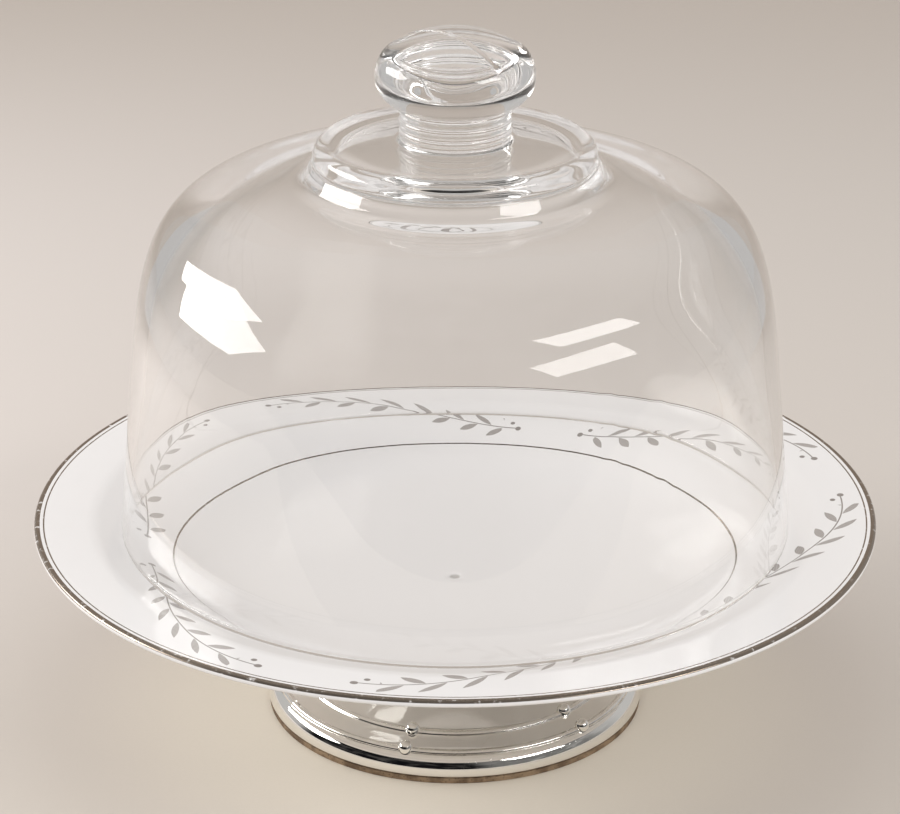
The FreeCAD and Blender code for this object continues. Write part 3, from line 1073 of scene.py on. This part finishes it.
def silver_material(waves, marks):
    """Mirror-bright plate with a slight warm tint, tarnish beside the rings and fine scratches."""
    made, g, place = material("bright_silver_plate")
    x, y, z, radius = in_millimetres(g, place)
    beside = []
    for ring in (ring_radius_lower, ring_radius_upper):
        from_edge = g.size(g.less(g.size(g.less(radius, ring)), ring_tube))
        beside.append(g.step(from_edge, tarnish_reach, 0.0))
    cloud = g.noise(place, 55.0, 4.0)
    tarnish = g.times(g.most(*beside), g.step(cloud, 0.38, 0.66))
    colour = g.colour(cloud, silver_pale, silver_deep)
    colour = g.colour(g.times(tarnish, 0.6), colour, silver_tarnish)
    scratches = place_effect(g, marks, place, {"Scale": 95.0, "Scratch Width": 0.012})
    height = place_effect(g, waves, place, {"Scale": 45.0, "Fine Scale": 700.0, "Fine Share": 0.04})
    relief = g.less(height["Height"], g.times(scratches["Scratches"], 0.12))
    gloss = g.add(0.035, g.times(scratches["Smears"], 0.03))
    shader = g.node("ShaderNodeBsdfPrincipled", {
        "Base Color": colour,
        "Metallic": 1.0,
        "Roughness": g.add(gloss, g.times(tarnish, 0.25)),
        "Normal": bumped(g, relief, 0.0002, 0.3),
    })
    g.show(shader)
    return made


def cork_material():
    """Brown speckled pad with dark and pale grains."""
    made, g, place = material("speckled_cork")
    grain = g.node("ShaderNodeTexVoronoi", {"Vector": place, "Scale": 900.0})
    cloud = g.noise(place, 160.0, 5.0)
    colour = g.colour(g.step(cloud, 0.35, 0.65), cork_dark, cork_pale)
    speck = g.step(grain.outputs["Distance"], 0.30, 0.18)
    colour = g.colour(g.times(speck, 0.6), colour, cork_speck)
    relief = g.add(cloud, grain.outputs["Distance"])
    shader = g.node("ShaderNodeBsdfPrincipled", {
        "Base Color": colour,
        "Roughness": g.add(0.78, g.times(cloud, 0.15)),
        "Normal": bumped(g, relief, 0.0003, 0.7),
    })
    g.show(shader)
    return made


# Camera at the photograph's place

camera_data = bpy.data.cameras.new("camera")
camera_data.lens = camera_lens
camera_data.sensor_width = camera_sensor
camera_data.clip_start = 0.05
camera_data.clip_end = 30.0
camera = bpy.data.objects.new("camera", camera_data)
camera.location = camera_place
camera.rotation_euler = camera_aim.to_track_quat("-Z", "Y").to_euler()
scene.collection.objects.link(camera)
scene.camera = camera

# Pieces

waves = waves_effect()
marks = marks_effect()
glaze = porcelain_material(waves, marks)
glass = glass_material(waves, marks)
silver = silver_material(waves, marks)
cork = cork_material()
foot_shells = [turned(foot_outline(), 288)] + foot_balls()
piece("porcelain_plate", [turned(plate_outline(), 288)], glaze, "plate")
piece("clear_dome", [dome_shell(118, 46)], glass, "glass_dome")
piece("silver_foot", foot_shells, silver, "foot")
piece("cork_disc", [turned(pad_outline(), 192)], cork, "base_pad")


# Floor, backdrop and light

def sweep():
    """Paper sweep: flat floor that curves up behind by a quarter circle, carried sideways."""
    depth = np.linspace(sweep_front, sweep_back, 60)
    a = np.linspace(0, np.pi / 2, 24)[1:]
    line = np.vstack([
        np.stack([depth, 0 * depth], 1),
        np.stack([sweep_back + sweep_bend * np.sin(a), sweep_bend * (1 - np.cos(a))], 1),
        [[sweep_back + sweep_bend, sweep_top]],
    ])
    across = np.linspace(-sweep_half_width, sweep_half_width, 27)
    rows, columns = len(across), len(line)
    points = np.stack([
        np.repeat(across[:, None], columns, 1),
        np.repeat(line[None, :, 0], rows, 0),
        np.repeat(line[None, :, 1], rows, 0),
    ], -1).reshape(-1, 3)
    row = np.arange(rows - 1)[:, None] * columns
    here = np.arange(columns - 1)[None, :]
    faces = np.stack([row + here, row + columns + here, row + columns + here + 1, row + here + 1], -1)
    made = mesh_object("paper_sweep", points, faces.reshape(-1, 4).tolist(), paper_material())
    made.data.shade_smooth()
    return made


def paper_material():
    """Pale warm paper with painted light and shade: a painted pool of light close to the foot, where the
    object's shadow falls, and painted shade far behind the object, in front and towards the right.
    """
    made, g, place = material("warm_paper")
    x, y, z = g.split(place)
    # Masks for the painted shade on the paper: far behind, in front and towards the right
    far = g.step(y, 0.45, 1.15)
    near = g.step(y, 0.25, -0.25)
    side = g.step(x, -0.35, 0.35)
    spread = g.node("ShaderNodeVectorMath", {0: place}, operation="LENGTH").outputs["Value"]
    colour = g.colour(side, paper_left_painted_light, paper_right_painted_shade)
    colour = g.colour(far, colour, paper_far_painted_shade)
    colour = g.colour(near, colour, paper_near_painted_shade)
    # Painted light: a pool of light painted on the paper round the foot that takes out most of the
    # object's shadow
    colour = g.colour(g.step(spread, 0.155, 0.07), colour, paper_painted_light_by_foot)
    colour = g.colour(g.times(g.noise(place, 900.0, 2.0), 0.06), colour, paper_fleck)
    g.show(g.node("ShaderNodeBsdfPrincipled", {"Base Color": colour, "Roughness": 0.9}))
    return made


def lit_card(name, corners, strength):
    """Flat softbox whose corners lie at the given (azimuth, height angle) from card_target."""
    ways = []
    for azimuth, rise in corners:
        a, e = math.radians(azimuth), math.radians(rise)
        ways.append([math.sin(a) * math.cos(e), -math.cos(a) * math.cos(e), math.sin(e)])
    ways = np.array(ways)
    middle = unit(ways.mean(0))
    points = card_target + ways / (ways @ middle)[:, None] * card_distance
    glow, g, place = material(name)
    g.show(g.node("ShaderNodeEmission", {"Color": lamp_white, "Strength": strength}))
    return mesh_object(name, points, [list(range(len(points)))], glow)


paper = sweep()
left_card = lit_card("left_card", left_card_corners, left_card_strength)
upper_card = lit_card("upper_card", upper_card_corners, upper_card_strength)


def studio_world():
    """Soft even light on matt surfaces; glass, glaze and metal see a darker room in front,
    darkest low down towards the camera's left, with the pale wall behind."""
    world = bpy.data.worlds.new("studio")
    world.use_nodes = True
    world.node_tree.nodes.clear()
    g = Graph(world.node_tree)
    way = g.node("ShaderNodeTexCoord").outputs["Generated"]
    x, y, z = g.split(way)
    front = g.step(y, 0.5, -0.2)
    low_left = g.less(g.times(x, -0.64), g.times(y, 0.77))
    dim = g.times(g.step(low_left, 0.4, 0.65), g.step(z, 0.7, 0.55))
    shade = g.step(g.noise(way, 5.0, 3.0), 0.45, 0.7)
    low = g.colour(shade, room_low, room_low_pale)
    wall = g.colour(front, wall_behind, g.colour(shade, room_front, room_front_pale))
    seen = g.colour(dim, wall, low)
    given = g.colour(g.node("ShaderNodeLightPath").outputs["Is Diffuse Ray"], seen, even_light)
    light = g.node("ShaderNodeBackground", {"Color": given, "Strength": 1.0})
    g.node("ShaderNodeOutputWorld", {"Surface": light.outputs[0]})
    scene.world = world


studio_world()
scene.view_settings.view_transform = "Standard"
scene.cycles.max_bounces = light_bounces
scene.cycles.glossy_bounces = light_bounces
scene.cycles.transmission_bounces = light_bounces
